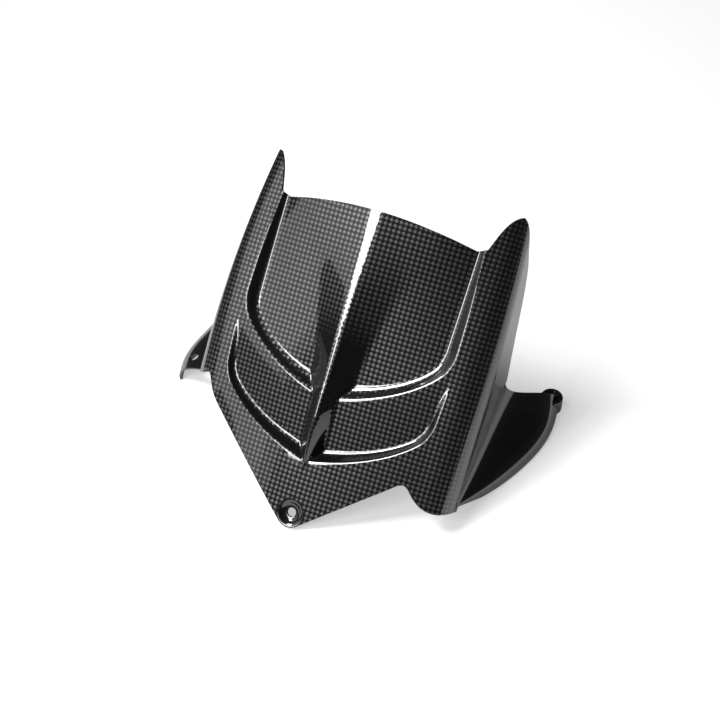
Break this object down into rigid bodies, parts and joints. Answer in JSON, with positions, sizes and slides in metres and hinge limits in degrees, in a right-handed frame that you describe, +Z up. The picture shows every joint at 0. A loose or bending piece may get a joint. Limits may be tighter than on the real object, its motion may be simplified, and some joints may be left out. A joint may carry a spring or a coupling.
{
  "type": "motorcycle rear fender",
  "caption": "Moulded rear wheel fender: V-shaped front tab, two sunken chevron panels, central ridge, rounded flanks with rear fins, and side wings that carry the bolt holes.",
  "frame": {"origin": "on the table under the middle of the part's width and length", "axes": "+X to the side with the upright boss, +Y from the front tab to the rear fins, +Z up"},
  "size_m": [0.282, 0.1952, 0.1694],
  "materials": {
    "laminate": "plain-weave carbon laminate under a clear gloss coat"
  },
  "bodies": {
    "root": {"fender_shell": "laminate"}
  },
  "joints": []
}
